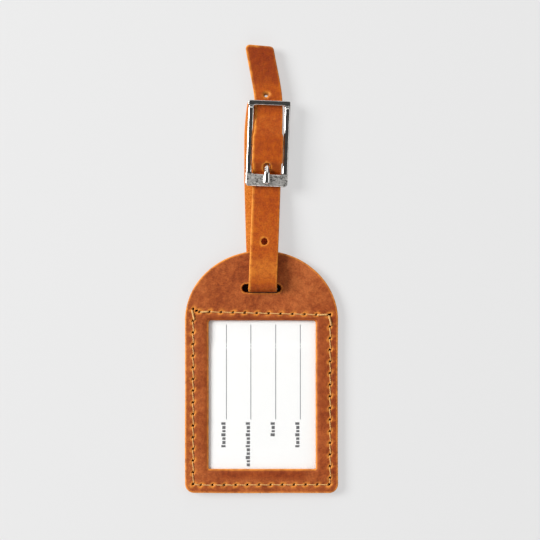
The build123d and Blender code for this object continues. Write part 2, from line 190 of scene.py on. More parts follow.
# ---- card and window sheet: left, right, bottom, top, underside, upper face ----
CARD_BOX = (-28.4, 28.4, 6.9, 80.4, 1.0, 1.28)
FILM_BOX = (-33, 33, 2.0, 85.5, 2.02, 2.27)
CARD_RISE = 0.25  # how far the card bulges up at its top, and more below
CARD_BULGE = 0.42
LINE_XS = (-16.1, -4.9, 6.5, 17.8)
LINE_Y = (33.6, 77.1)
LINE_HALF_WIDTH = 0.18
LABEL_LENGTHS = (12.4, 20.3, 7.9, 12.8)
LABEL_TOP_Y = 32.3
LABEL_FROM_LINE = 0.4
LETTER_SIZES = (1.2, 1.5, 1.0, 1.4)
LETTER_GAP = 0.45
INK_THICKNESS = 0.03

# ---- floor and light (metres, watts), camera (millimetres) ----
FLOOR_SIZE = 2.0
FLOOR_GREY = 0.25
FLOOR_GLOW = 0.52
WORLD_LIGHT = 0.06
LIGHT_DISTANCE = 2.5
LIGHT_TILT = math.radians(54)
LIGHTS = {  # bearing, size, power
    "key": (163, 1.2, 86),
    "fill_right": (5, 1.3, 9),
    "fill_top": (85, 2.2, 18),
    "fill_bottom": (270, 2.2, 20),
}
CAMERA_X = 3.89
CAMERA_Y = -0.44
FRAME_WIDTH = 247.05
LENS = 100.0
SENSOR = 36.0


def srgb(red, green, blue):
    """A colour given as 0 to 255, in linear light."""
    channels = [c / 255 for c in (red, green, blue)]
    return tuple(c / 12.92 if c < 0.04045 else ((c + 0.055) / 1.055) ** 2.4 for c in channels)


def to_metres(points):
    points = np.asarray(points, float)
    return points * MM + np.array([0, TAG_BOTTOM_Y, 0])


# ---- materials ----


class Nodes:
    """A material being built. Inputs are linked if they are given a socket and set if not."""

    def __init__(self, name):
        self.material = bpy.data.materials.new(name)
        self.material.use_nodes = True
        self.tree = self.material.node_tree
        self.place = self.node("ShaderNodeTexCoord").outputs["Object"]

    def node(self, kind, inputs=None, **settings):
        made = self.tree.nodes.new(kind)
        for name, value in settings.items():
            setattr(made, name, value)
        self.set(made, inputs or {})
        return made

    def set(self, node, inputs):
        for socket, value in inputs.items():
            if isinstance(value, bpy.types.NodeSocket):
                self.tree.links.new(value, node.inputs[socket])
            else:
                node.inputs[socket].default_value = value

    def surface(self, colour, roughness, more):
        """Fills in the shader's inputs and gives the finished material."""
        inputs = {"Base Color": colour, "Roughness": roughness, **more}
        self.set(self.tree.nodes["Principled BSDF"], inputs)
        return self.material

    def noise(self, scale, detail, roughness, place=None):
        inputs = {"Vector": place or self.place, "Scale": scale}
        inputs |= {"Detail": detail, "Roughness": roughness}
        return self.node("ShaderNodeTexNoise", inputs).outputs["Fac"]

    def cells(self, scale, feature="F1"):
        inputs = {"Vector": self.place, "Scale": scale}
        return self.node("ShaderNodeTexVoronoi", inputs, feature=feature).outputs["Distance"]

    def ramp(self, value, *stops):
        """Maps a value to colours: stops are (position, colour)."""
        made = self.node("ShaderNodeValToRGB", {"Fac": value})
        points = made.color_ramp.elements
        while len(points) < len(stops):
            points.new(0.5)
        for point, (position, colour) in zip(points, stops):
            point.position = position
            point.color = (*colour, 1.0) if isinstance(colour, tuple) else (colour,) * 3 + (1.0,)
        return made.outputs["Color"]

    def mix(self, share, first, second, blend="MIX"):
        first, second = ((*c, 1.0) if isinstance(c, tuple) else c for c in (first, second))
        inputs = {0: share, 6: first, 7: second}
        return self.node("ShaderNodeMix", inputs, data_type="RGBA", blend_type=blend).outputs[2]

    def maths(self, operation, first, second):
        return self.node("ShaderNodeMath", {0: first, 1: second}, operation=operation).outputs[0]

    def attribute(self, name):
        return self.node("ShaderNodeAttribute", attribute_name=name).outputs["Fac"]

    def bump(self, height, distance, strength, after=None):
        inputs = {"Height": height, "Distance": distance, "Strength": strength}
        if after is not None:
            inputs["Normal"] = after
        return self.node("ShaderNodeBump", inputs).outputs["Normal"]


def grain_leather(name, dark, middle, light, halo, stain_and_shade, spread):
    """Waxed leather, mottled, with a fine pebble grain, paler rims round holes and edges, and the painted
    shade and highlight that its pieces give it.
    """
    n = Nodes(name)
    broad = n.noise(70, 3, 0.6)
    medium = n.noise(420, 4, 0.65)
    fine = n.noise(1700, 3, 0.6)
    cloud = n.maths("ADD", n.maths("MULTIPLY", broad, 0.45), n.maths("MULTIPLY", medium, 0.55))
    colour = n.ramp(cloud, (0.5 - spread, dark), (0.5, middle), (0.5 + spread, light))
    speck = n.ramp(fine, (0.38, 0.72), (0.52, 1.0), (0.7, 1.12))
    colour = n.mix(0.75, colour, speck, "MULTIPLY")
    pores = n.ramp(n.cells(2300), (0.05, 0.62), (0.25, 1.0))
    colour = n.mix(0.35, colour, pores, "MULTIPLY")
    # darker places: real wear and tone, and painted shade and shadow, by each piece's values
    colour = n.mix(n.attribute("stain_and_shade"), colour, stain_and_shade, "MULTIPLY")
    rim = n.maths("MULTIPLY", n.attribute("rim"), n.ramp(medium, (0.32, 0.35), (0.58, 1.0)))
    colour = n.mix(rim, colour, halo)
    # painted shade: near-black insides of the slits, the strap slot and the tip's hole
    colour = n.mix(n.attribute("slit"), colour, srgb(28, 9, 2))
    roughness = n.ramp(medium, (0.3, 0.62), (0.7, 0.46))
    grain = n.bump(n.cells(1500, "SMOOTH_F1"), 0.00010, 0.55)
    grain = n.bump(medium, 0.00025, 0.4, grain)
    grain = n.bump(broad, 0.0008, 0.35, grain)
    return n.surface(colour, roughness, {"Normal": grain, "Specular IOR Level": 0.2})


def flesh_leather(name, dark, light):
    """The rough back of the leather."""
    n = Nodes(name)
    nap = n.noise(1300, 6, 0.8)
    broad = n.noise(160, 3, 0.6)
    fibre = n.ramp(nap, (0.42, dark), (0.58, light))
    colour = n.mix(0.3, fibre, n.ramp(broad, (0.3, dark), (0.7, light)))
    # painted shade on the flesh seen through the strap's lower hole
    colour = n.mix(n.attribute("flesh_painted_shade"), colour, srgb(150, 100, 80), "MULTIPLY")
    rough = n.bump(nap, 0.0003, 0.9)
    return n.surface(colour, 0.95, {"Normal": rough, "Specular IOR Level": 0.15})


def speckled(name, dark, light, noise, ends, roughness, bump=None, specular=0.5):
    """From dark to light with a fine noise between two ends, which may also raise the surface."""
    n = Nodes(name)
    speck = n.noise(*noise)
    colour = n.ramp(speck, (ends[0], dark), (ends[1], light))
    raised = {"Normal": n.bump(speck, *bump)} if bump else {}
    return n.surface(colour, roughness, {"Specular IOR Level": specular, **raised})


def nickel(name, worn):
    """Polished nickel with fine scratches; worn adds pits and dull specks."""
    n = Nodes(name)
    haze = n.noise(300, 4, 0.6)
    pits = n.noise(1000, 6, 0.8)
    stretch = n.node("ShaderNodeMapping", {"Vector": n.place, "Scale": (1.0, 9.0, 4.0)})
    scratches = n.noise(420, 5, 0.7, stretch.outputs["Vector"])
    shade = n.ramp(pits, (0.42, srgb(62, 56, 50)), (0.5, srgb(252, 248, 242)))
    clean = n.ramp(haze, (0.3, srgb(188, 186, 182)), (0.7, srgb(224, 222, 218)))
    rough = n.ramp(scratches, (0.3, 0.12 + 0.2 * worn), (0.7, 0.24 + 0.36 * worn))
    pitted = n.bump(pits, 0.00004 + 0.00008 * worn, 0.35 + 0.5 * worn)
    return n.surface(n.mix(worn, clean, shade), rough, {"Normal": pitted, "Metallic": 1.0})


def clear_film(name):
    n = Nodes(name)
    ripple = n.bump(n.noise(45, 2, 0.5), 0.0006, 0.4)
    return n.surface((0.95, 0.95, 0.95, 1), 0.08, {"Normal": ripple, "Alpha": 0.06})


PANEL_GRAIN = grain_leather(
    "panel_grain", srgb(137, 61, 22), srgb(160, 79, 34), srgb(179, 96, 47),
    srgb(232, 146, 58), srgb(220, 186, 150), 0.12,
)
STRAP_GRAIN = grain_leather(
    "strap_grain", srgb(148, 57, 4), srgb(169, 74, 8), srgb(185, 92, 18),
    srgb(234, 150, 54), srgb(206, 180, 200), 0.17,
)
FLESH = flesh_leather("leather_flesh", srgb(186, 92, 20), srgb(240, 152, 64))
CUT = speckled(
    "leather_cut_edge", srgb(160, 84, 34), srgb(224, 140, 66),
    (1300, 5, 0.7), (0.32, 0.62), 0.8, (0.00015, 0.7), 0.25,
)
THREAD = speckled(
    "waxed_thread", srgb(186, 124, 62), srgb(226, 180, 112),
    (2600, 4, 0.7), (0.3, 0.6), 0.6, (0.00006, 0.6),
)
POLISHED = nickel("nickel_polished", 0.0)
WORN = nickel("nickel_worn", 0.75)
CARD = speckled(
    "card_stock", srgb(237, 237, 236), srgb(242, 242, 240),
    (1800, 4, 0.6), (0.3, 0.7), 0.65, (0.00002, 0.4),
)
INK = ((2500, 3, 0.6), (0.3, 0.7), 0.6)
LINE_INK = speckled("line_ink", srgb(92, 94, 98), srgb(122, 124, 128), *INK)
LABEL_INK = speckled("label_ink", srgb(44, 44, 46), srgb(70, 70, 72), *INK)
FILM = clear_film("clear_film")


# ---- outlines ----


def arc(centre, radii, start, end, step=0.5):
    """Points along an elliptical arc, angles in degrees, without its last point."""
    sweep = math.radians(end - start)
    count = max(3, int(abs(sweep) * max(radii) / step))
    angles = math.radians(start) + sweep * np.arange(count) / count
    return [(centre[0] + radii[0] * math.cos(a), centre[1] + radii[1] * math.sin(a)) for a in angles]


def straight(start, end, step=0.5):
    count = max(1, int(math.dist(start, end) / step))
    t = np.arange(count) / count
    return [(start[0] + (end[0] - start[0]) * k, start[1] + (end[1] - start[1]) * k) for k in t]


def rounded_box(left, right, bottom, top, radii, step=0.5):
    """A box with its own radius at each corner: bottom right, top right, top left, bottom left."""
    br, tr, tl, bl = radii
    points = straight((left + bl, bottom), (right - br, bottom), step)
    points += arc((right - br, bottom + br), (br, br), -90, 0, step)
    points += straight((right, bottom + br), (right, top - tr), step)
    points += arc((right - tr, top - tr), (tr, tr), 0, 90, step)
    points += straight((right - tr, top), (left + tl, top), step)
    points += arc((left + tl, top - tl), (tl, tl), 90, 180, step)
    points += straight((left, top - tl), (left, bottom + bl), step)
    points += arc((left + bl, bottom + bl), (bl, bl), 180, 270, step)
    return points


def tag_outline():
    w, r = TAG_HALF_WIDTH, CORNER_RADIUS
    points = straight((-w + r, 0), (w - r, 0))
    points += arc((w - r, r), (r, r), -90, 0)
    points += straight((w, r), (w, ARCH_CENTRE_Y))
    points += arc((0, ARCH_CENTRE_Y), (w, ARCH_HEIGHT), 0, 180)
    points += straight((-w, ARCH_CENTRE_Y), (-w, r))
    points += arc((-w + r, r), (r, r), 180, 270)
    return points


def hand_cut(points, amount, seed):
    """Lets an outline wander a little, as a hand-cut edge does."""
    points = np.array(points)
    random = np.random.default_rng(seed)
    count = len(points)
    wander = np.zeros((count, 2))
    turn = 2 * np.pi * np.arange(count) / count
    for wave in (2, 3, 5, 9, 17):
        phase = random.uniform(0, 2 * np.pi, 2)
        wander += amount / wave**0.6 * np.stack([np.sin(wave * turn + p) for p in phase], 1)
    return [tuple(p) for p in points + wander]


def row_holes(row):
    (x0, y0), (x1, y1), steps, odd = row
    holes = [(x0 + (x1 - x0) * i / steps, y0 + (y1 - y0) * i / steps) for i in range(steps + 1)]
    return ([odd] if odd else []) + holes


def inside(points, loop):
    """Which points lie inside a closed loop."""
    x, y = points[:, 0], points[:, 1]
    loop = np.array(loop)
    found = np.zeros(len(points), bool)
    for (xa, ya), (xb, yb) in zip(loop, np.roll(loop, -1, 0)):
        if ya == yb:
            continue
        crosses = (ya > y) != (yb > y)
        found ^= crosses & (x < (xb - xa) * (y - ya) / (yb - ya) + xa)
    return found


def unit(rows):
    return rows / np.linalg.norm(rows, axis=1)[:, None]


def travelled(points):
    """Length along a line of points, at each of them."""
    return np.concatenate([[0], np.cumsum(np.linalg.norm(np.diff(points, axis=0), axis=1))])


def smooth(x):
    x = np.clip(x, 0, 1)
    return x * x * (3 - 2 * x)


# ---- sheets of leather and metal ----


def edge_rings(loop, depths, outward):
    """The loop moved into the material by each depth."""
    loop = np.array(loop)
    along = unit(np.roll(loop, -1, 0) - np.roll(loop, 1, 0))
    normal = np.stack([-along[:, 1], along[:, 0]], 1)
    sign = 1 if outward else -1
    area = np.sum(loop[:, 0] * np.roll(loop[:, 1], -1) - np.roll(loop[:, 0], -1) * loop[:, 1])
    if area < 0:
        sign = -sign
    return [loop - sign * normal * depth for depth in depths]


def new_object(name, points, faces, materials, smoothed=True):
    """An object from points in millimetres, with the first material on all its faces."""
    mesh = bpy.data.meshes.new(name)
    mesh.from_pydata([tuple(p) for p in to_metres(points)], [], faces)
    for material in materials:
        mesh.materials.append(material)
    mesh.polygons.foreach_set("use_smooth", [smoothed] * len(faces))
    made = bpy.data.objects.new(name, mesh)
    bpy.context.scene.collection.objects.link(made)
    return made


def plate(name, outline, holes, depths, spacing, extra, shape, carry, materials, tints=None):
    """A sheet with rounded edges, meshed with rings of points at some depths in from the cut,
    a grid with a spacing and extra points. shape(x, y, depth) gives the upper and lower height
    and carry(x, y, height) the place. Materials: upper face, lower face, cut edge.
    Tints are named values for the materials, worked out from the points and depths."""
    loops = [np.array(outline)] + [np.array(h) for h in holes]
    edges, start = [], 0
    for loop in loops:
        count = len(loop)
        edges += [(start + k, start + (k + 1) % count) for k in range(count)]
        start += count
    sets = list(loops)
    tree = kdtree.KDTree(start)
    for i, p in enumerate(np.concatenate(loops)):
        tree.insert((p[0], p[1], 0), i)
    tree.balance()

    def depth_of(points):
        return np.array([tree.find((p[0], p[1], 0))[2] for p in points])

    def keep(points, least):
        points = points[inside(points, loops[0])]
        for hole in loops[1:]:
            points = points[~inside(points, hole)]
        return points[depth_of(points) > least]

    for i, loop in enumerate(loops):
        for depth, ring in zip(depths, edge_rings(loop, depths, outward=i > 0)):
            sets.append(keep(ring, depth * 0.93))
    low, high = loops[0].min(0), loops[0].max(0)
    xs = np.arange(low[0], high[0], spacing)
    ys = np.arange(low[1], high[1], spacing * 0.87)
    grid = np.array([(x + spacing * 0.5 * (j % 2), y) for j, y in enumerate(ys) for x in xs])
    sets.append(keep(grid, depths[-1] + spacing * 0.45))
    if len(extra):
        sets.append(keep(np.array(extra), depths[-1] + 0.1))
    points = np.concatenate(sets)
    flat, _, faces, *_ = geometry.delaunay_2d_cdt([Vector(p) for p in points], edges, [], 1, 0.003)
    flat = np.array([(p.x, p.y) for p in flat])
    faces = np.array([f for f in faces if len(f) == 3])
    middle = flat[faces].mean(1)
    good = inside(middle, loops[0])
    for hole in loops[1:]:
        good &= ~inside(middle, hole)
    faces = faces[good]
    corners = flat[faces]
    turn = np.cross(corners[:, 1] - corners[:, 0], corners[:, 2] - corners[:, 0])
    faces[turn < 0] = faces[turn < 0][:, ::-1]

    depth = depth_of(flat)
    upper, lower = shape(flat[:, 0], flat[:, 1], depth)
    count = len(flat)
    mesh_points = np.concatenate([carry(flat[:, 0], flat[:, 1], height) for height in (upper, lower)])
    all_faces = [tuple(f) for f in faces] + [tuple(f[::-1] + count) for f in faces]
    slots = [0] * len(faces) + [1] * len(faces)
    sides = dict.fromkeys((f[i], f[(i + 1) % 3]) for f in faces for i in range(3))
    for a, b in sides:
        if (b, a) not in sides:
            all_faces.append((b, a, a + count, b + count))
            slots.append(2)
    made = new_object(name, mesh_points, all_faces, materials)
    made.data.polygons.foreach_set("material_index", slots)
    for label, tint in (tints or {}).items():
        values = tint(flat, depth)
        both = np.concatenate([values, values]).astype(np.float32)
        made.data.attributes.new(label, "FLOAT", "POINT").data.foreach_set("value", both)
    return made


def rounding(depth, radius):
    """How far a rounded edge has dropped at each depth in from the cut."""
    inward = np.clip(1 - depth / radius, 0, 1)
    return radius * (1 - np.sqrt(1 - inward**2))


def flat_place(x, y, height):
    return np.stack([x, y, height], 1)


def slits(flat, rows=ROWS):
    """Distance of each point from the nearest stitch slit, in slit half-lengths times its width."""
    nearest = np.full(len(flat), 9.0)
    for name, row in rows.items():
        spare = [SPARE_SLIT] if name == "top" else []
        for x, y in row_holes(row) + spare:
            near = np.abs(flat - (x, y)).max(1) < 2.5
            d = flat[near] - (x, y)
            angle = math.radians(COLUMN_SLIT_ANGLE if name in COLUMNS else ROW_SLIT_ANGLE)
            u = d[:, 0] * math.cos(angle) + d[:, 1] * math.sin(angle)
            v = -d[:, 0] * math.sin(angle) + d[:, 1] * math.cos(angle)
            away = np.hypot(u / (SLIT_LENGTH / 2), v / (SLIT_WIDTH / 2))
            nearest[near] = np.minimum(nearest[near], away)
    return nearest


def row_distance(flat, rows=ROWS):
    """Distance of each point from the nearest line of stitching."""
    nearest = np.full(len(flat), 99.0)
    for row in rows.values():
        holes = np.array(row_holes(row))
        a, b = holes[0], holes[-1]
        t = np.clip(((flat - a) @ (b - a)) / ((b - a) @ (b - a)), 0, 1)
        nearest = np.minimum(nearest, np.linalg.norm(flat - (a + t[:, None] * (b - a)), axis=1))
    return nearest


def stitch_zone(step, reach=1.3, rows=ROWS):
    """A fine grid of points along the stitching."""
    points = []
    for row in rows.values():
        holes = np.array(row_holes(row))
        a, b = holes[0], holes[-1]
        along = (b - a) / np.linalg.norm(b - a)
        across = np.array([-along[1], along[0]])
        for s in np.arange(-reach, np.linalg.norm(b - a) + reach, step):
            for w in np.arange(-reach, reach, step):
                points.append(a + along * s + across * w)
    return points


def slot_zone():
    """A fine grid of points at both ends of the strap slot and along its foot."""
    left, right = STRAP_IN_SLOT
    reach, height = SLOT_ZONE
    across = [*np.arange(-reach, left, 0.15), *np.arange(right, reach, 0.15)]
    up = np.arange(SLOT[1] - height, SLOT[1] + height, 0.15)
    ends = [np.array((x, y)) for x in across for y in up]
    foot = np.arange(SLOT[1] - height, SLOT[1] - 1.4, 0.15)
    return ends + [np.array((x, y)) for x in np.arange(left, right, 0.2) for y in foot]


def waves(x, y, size, height, seed):
    """A slow, smooth unevenness."""
    random = np.random.default_rng(seed)
    total = np.zeros(len(x))
    for _ in range(6):
        angle, phase = random.uniform(0, 2 * np.pi, 2)
        k = 2 * np.pi / (size * random.uniform(0.6, 1.6))
        total += np.sin(k * (x * math.cos(angle) + y * math.sin(angle)) + phase)
    return height * total / 6


def front_shape(x, y, depth):
    """Dips along the stitching, slits, thin leather round the window, and the slot's uncut ends and foot
    pushed down to carry painted shade.
    """
    flat = np.stack([x, y], 1)
    dip = 0.16 * np.exp(-((row_distance(flat) / 0.75) ** 2))
    hole = 1.2 * smooth(1.3 * (1.4 - slits(flat)))
    thin = 0.5 * smooth(1 - box_distance(flat, *WINDOW) / 1.7)
    upper = FRONT_TOP_Z - rounding(depth, 0.45) - dip - hole - thin + waves(x, y, 22, 0.10, 4)
    lower = PANEL_JOIN_Z + 0.3 + 0 * x + rounding(depth, 0.2)
    lower = np.where(depth < 1.2, PANEL_JOIN_Z + 0.02 + rounding(depth, 0.3), lower)
    to_slot = slot_distance(flat)
    clear = np.maximum(smooth((np.abs(x - 0.55) - 6.45) / 0.15), smooth((92.6 - y) / 0.1))
    # the slot's ends and foot are not cut through: the leather drops into them and is coloured near-black as
    # painted shade
    upper = upper - SLOT_DROP * smooth(0.35 - to_slot / 0.35) * clear
    lip = smooth((0.9 - to_slot) / 0.5) * clear
    return upper, lower - lip * (PANEL_JOIN_Z - 0.2)


def back_shape(x, y, depth):
    """The outside has dips and slits, the inside a pocket for the card that is open at the top."""
    flat = np.stack([x, y], 1)
    dip = 0.25 * np.exp(-((row_distance(flat, BACK_ROWS) / 0.7) ** 2))
    hole = 0.7 * smooth(1.35 - slits(flat, BACK_ROWS))
    lower = rounding(depth, 0.4) + dip + hole
    pocket = smooth((POCKET_HALF_WIDTH - np.abs(x)) / 0.6) * smooth((y - POCKET_BOTTOM) / 0.6)
    upper = PANEL_JOIN_Z - rounding(depth, 0.35) * (y < BACK_TOP_Y - 1)
    return upper - pocket * (upper - POCKET_FLOOR_Z), lower


def box_distance(flat, left, right, bottom, top):
    """Distance outside a box."""
    across = np.maximum(np.maximum(left - flat[:, 0], flat[:, 0] - right), 0)
    up = np.maximum(np.maximum(bottom - flat[:, 1], flat[:, 1] - top), 0)
    return np.hypot(across, up)


def slot_distance(flat):
    """Distance outside the slot's outline, less than nothing inside it."""
    reach = SLOT[2] / 2 - SLOT[3] / 2
    return box_distance(flat, -reach, reach, SLOT[1], SLOT[1]) - SLOT[3] / 2


def panel_rim(flat, depth):
    """Pale raw leather at cut edges and round the stitch slits, except along the window's top edge, which
    carries painted shade.
    """
    edge = smooth(1.3 - depth / 0.75)
    # no pale edge along the window's top edge, which carries painted shade instead
    edge *= 1 - 0.8 * smooth(1 - box_distance(flat, *WINDOW_TOP_EDGE) / 0.5)
    edge = np.where(slot_distance(flat) < 1.5, 0.8 * smooth(1.2 - slot_distance(flat) / 0.8), edge)
    slit = smooth(1.05 - (slits(flat) - 1.0) / 2.6)
    return np.maximum(edge, slit)


def back_rim(flat, depth):
    slit = smooth(1.05 - (slits(flat, BACK_ROWS) - 1.0) / 2.6)
    return np.maximum(smooth(1.3 - depth / 0.75), slit)


# painted shade: dark insides of the back panel's stitch slits
def back_painted_slit_shade(flat, depth):
    return smooth(2.2 * (1.35 - slits(flat, BACK_ROWS)))


def panel_painted_hole_shade(flat, depth):
    """Painted shade: dark insides of the stitch slits and of the strap slot, with a thin painted shadow line
    just below the slot's lower edge.
    """
    # a painted shadow line just below the slot's lower edge, beside the strap
    foot = 0.35 * (flat[:, 1] < SLOT[1]) * smooth((7.4 - np.abs(flat[:, 0] - 0.5)) / 0.6)
    in_slot = smooth((foot - slot_distance(flat)) / 0.3)
    return np.maximum(smooth(2.2 * (1.35 - slits(flat))), in_slot)


def panel_darker_and_painted_shade(flat, depth):
    """Darker places under the window, round it, along the right edge and over the right column, and painted
    shade along the window's top edge.
    """
    below = smooth(1 - box_distance(flat, -17, 18, 8.2, 9.2) / 3.2)
    right = smooth(1 - np.abs(flat[:, 0] - 33.2) / 1.6) * smooth((96 - flat[:, 1]) / 8)
    # painted shade along the window's top edge
    top = 1.3 * smooth(1 - box_distance(flat, *WINDOW_TOP_EDGE) / 0.8)
    column = 0.45 * smooth(1 - box_distance(flat, 26, 33, 10, 84) / 5.0)
    return np.clip(0.8 * below + 0.6 * right + top + column, 0, 1.3)


slot_bottom, slot_top = SLOT[1] - SLOT[3] / 2 + SLOT_FOOT, SLOT[1] + SLOT[3] / 2
slot_loop = rounded_box(*SLOT_BEHIND_STRAP, slot_bottom, slot_top, (0.4,) * 4, 0.25)
window_loop = rounded_box(*WINDOW, WINDOW_CORNERS, 0.5)

front_outline, front_holes = hand_cut(tag_outline(), 0.07, 3), [slot_loop, hand_cut(window_loop, 0.03, 5)]
front = plate(
    "front_panel_leather", front_outline, front_holes, EDGE_DEPTHS, 1.1, stitch_zone(0.24) + slot_zone(),
    front_shape, flat_place, (PANEL_GRAIN, FLESH, CUT),
    {"rim": panel_rim, "slit": panel_painted_hole_shade, "stain_and_shade": panel_darker_and_painted_shade},
)
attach(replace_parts(front, "front_panel"), "tag")

# the back panel's outline is the tag's, cut straight across below its top
whole = tag_outline()
below_cut = [p[1] < BACK_TOP_Y - 0.2 for p in whole]
back_outline = [p for p, below in zip(whole, below_cut) if below]
arch_x = TAG_HALF_WIDTH * math.sqrt(1 - ((BACK_TOP_Y - ARCH_CENTRE_Y) / ARCH_HEIGHT) ** 2)
right_count = sum(below_cut[: len(whole) // 2])
back_outline[right_count:right_count] = straight((arch_x, BACK_TOP_Y), (-arch_x, BACK_TOP_Y))
back = plate(
    "back_panel_leather", hand_cut(back_outline, 0.08, 8), [], EDGE_DEPTHS, 1.3,
    stitch_zone(0.3, 1.2, BACK_ROWS), back_shape, flat_place, (FLESH, PANEL_GRAIN, CUT),
    {"rim": back_rim, "slit": back_painted_slit_shade},
)
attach(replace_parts(back, "back_panel"), "tag")


# ---- strap ----


def rounded_line(points, radii, step=0.4):
    """A polyline with its inner corners rounded, as evenly spaced points."""
    points = [np.array(p, float) for p in points]
    dense = [points[0]]
    for before, corner, after, radius in zip(points, points[1:], points[2:], radii):
        a = (before - corner) / np.linalg.norm(before - corner)
        b = (after - corner) / np.linalg.norm(after - corner)
        half = math.acos(max(-1, min(1, float(a @ b)))) / 2
        reach = radius / math.tan(half)
        centre = corner + (a + b) / np.linalg.norm(a + b) * radius / math.sin(half)
        first, last = corner + a * reach - centre, corner + b * reach - centre
        sweep = math.pi - 2 * half
        for t in np.linspace(0, 1, max(4, int(sweep * radius / 0.15))):
            w0, w1 = math.sin((1 - t) * sweep), math.sin(t * sweep)
            dense.append(centre + (w0 * first + w1 * last) / math.sin(sweep))
    dense.append(points[-1])
    return even(np.array(dense), step)


def even(points, step):
    length = travelled(points)
    wanted = np.linspace(0, length[-1], int(length[-1] / step) + 1)
    return np.stack([np.interp(wanted, length, points[:, k]) for k in range(points.shape[1])], 1)


def smooth_plan(ys, xs, y):
    """X by Y through the stations, with the corners eased."""
    fine = np.linspace(ys[0], ys[-1], 800)
    raw = np.interp(fine, ys, xs)
    width = 45
    padded = np.pad(raw, width, mode="reflect", reflect_type="odd")
    eased = np.convolve(padded, np.ones(2 * width + 1) / (2 * width + 1), "valid")
    return np.interp(y, fine, eased)


# the strap's middle seen from the side, from its tip down to the slot, back to the buckle,
# round, up to the centre bar, round it and back to where the fold is sewn
by = BUCKLE_CENTRE[1]
front_side = rounded_line(FRONT_LINE, FRONT_BENDS)[::-1]
back_side = rounded_line(
    [(SLOT_RUN_Y, SLOT_TURN_Z), (SLOT_RUN_Y, STRAP_FLOOR_Z), (by + TURN_Y, STRAP_FLOOR_Z)],
    [SLOT_TURN_RADIUS],
)
turn_side = np.array([
    (by + TURN_Y + TURN_RADIUS * math.sin(a), STRAP_FLOOR_Z + TURN_RADIUS * (1 - math.cos(a)))
    for a in np.linspace(0, math.pi, 14)
])
fold_top, fold_low = BAR_Z + FOLD_RADIUS, BAR_Z - FOLD_RADIUS
rise_start, rise_end = RISE_Y
rise_side = rounded_line(
    [(by + TURN_Y, TURNED_Z), (by + rise_start, TURNED_Z), (by + rise_end, fold_top), (by + BAR_Y, fold_top)],
    RISE_RADII,
)
fold_side = np.array([
    (by + BAR_Y - FOLD_RADIUS * math.sin(a), BAR_Z + FOLD_RADIUS * math.cos(a))
    for a in np.linspace(0, math.pi, 16)
])
double_side = rounded_line([(by + y, z) for y, z in ((BAR_Y, fold_low), *DOUBLED_LINE)], [DOUBLED_RADIUS])
later_sides = [part[1:] for part in (back_side, turn_side, rise_side, fold_side, double_side)]
side = even(np.concatenate([front_side] + later_sides), 0.25)
lengths = travelled(side)
STRAP_LENGTH = lengths[-1]
slot_s = lengths[np.argmin(np.abs(side[:, 0] - SLOT_RUN_Y) + np.abs(side[:, 1] - SLOT_TURN_Z))]
turn_s = lengths[np.argmax(np.where(lengths > slot_s, side[:, 0], 0))]
plans = (FRONT_PLAN, BACK_PLAN, TURNED_PLAN)
front_x, back_x, turned_x = (smooth_plan(*plan, side[:, 0]) for plan in plans)
plan_x = np.where(lengths < slot_s, front_x, np.where(lengths < turn_s, back_x, turned_x))
ease = np.ones(13) / 13
plan_x = np.convolve(np.pad(plan_x, 6, mode="reflect", reflect_type="odd"), ease, "valid")
fade_start, fade_end = YAW_FADE
fading = TIP_YAW * (fade_end - lengths) / (fade_end - fade_start) - 1.0
yaw = np.where(lengths < fade_end, fading, FRONT_YAW)
yaw = np.radians(np.where(lengths < fade_start, TIP_YAW, yaw))
yaw[lengths > slot_s - 20] = 0
yaw[lengths > turn_s - 8] = BUCKLE_TURN
yaw = np.convolve(np.pad(yaw, 20, mode="edge"), np.ones(41) / 41, "valid")
line = np.stack([plan_x, side[:, 0], side[:, 1]], 1)
tangent = np.gradient(line, axis=0)
tangent[:, 0] = 0
lateral = np.stack([np.cos(yaw), np.sin(yaw), 0 * yaw], 1)
normal = unit(np.cross(unit(tangent), lateral))


def along_strap(s, w, height):
    """The place of a point s along the strap, w across it and height out of its middle."""
    where = [
        np.stack([np.interp(s, lengths, field[:, k]) for k in range(3)], 1)
        for field in (line, lateral, normal)
    ]
    return where[0] + where[1] * w[:, None] + where[2] * height[:, None]


def strap_at(y):
    """Length along the strap at which its front run reaches y."""
    front_run = lengths < slot_s - 4
    return float(np.interp(-y, -side[front_run, 0], lengths[front_run]))


def strap_shape(s, w, depth):
    """Crowned, a little wavy, thinner at its turned end and dimpled round the tip's hole."""
    thick = STRAP_THICKNESS - SKIVED_BY * smooth((s - (STRAP_LENGTH - SKIVED_LENGTH)) / 4)
    crown = 0.05 * (1 - (w / 6.5) ** 2)
    wave = waves(s, w, 17, 0.05, 11)
    funnel = 0.75 * smooth(1.35 - np.hypot((s - tip_hole_s) / 1.2, (w - TIP_HOLE_W) / 1.6))
    upper = thick / 2 - rounding(depth, 0.42) + crown - 0.05 + wave - funnel
    lower = -thick / 2 + rounding(depth, 0.2) + wave
    return upper, lower


def strap_rim(flat, depth):
    """Pale cut edges, wider along the left one, pale rings round the holes, and a painted highlight across
    the loop's crest above the slot.
    """
    s, w = flat[:, 0], flat[:, 1]
    reach = np.where(w < 0, 1.1, 0.7) + 0.7 * smooth(1 - np.abs(s - slot_s + 12) / 10)
    # painted highlight: a paler band over the crest of the loop, where it faces the light
    painted_crest_highlight = 0.3 * smooth(1 - np.abs(s - slot_s + 14) / 9)
    tip_ring = np.hypot((s - tip_hole_s) / 1.3, (w - TIP_HOLE_W) / 2.0)
    edge = np.where(w < 0, 0.9, 0.6) * smooth(1.1 - depth / reach)
    return np.maximum(edge, np.maximum(painted_crest_highlight, 0.8 * smooth(1.5 - tip_ring)))


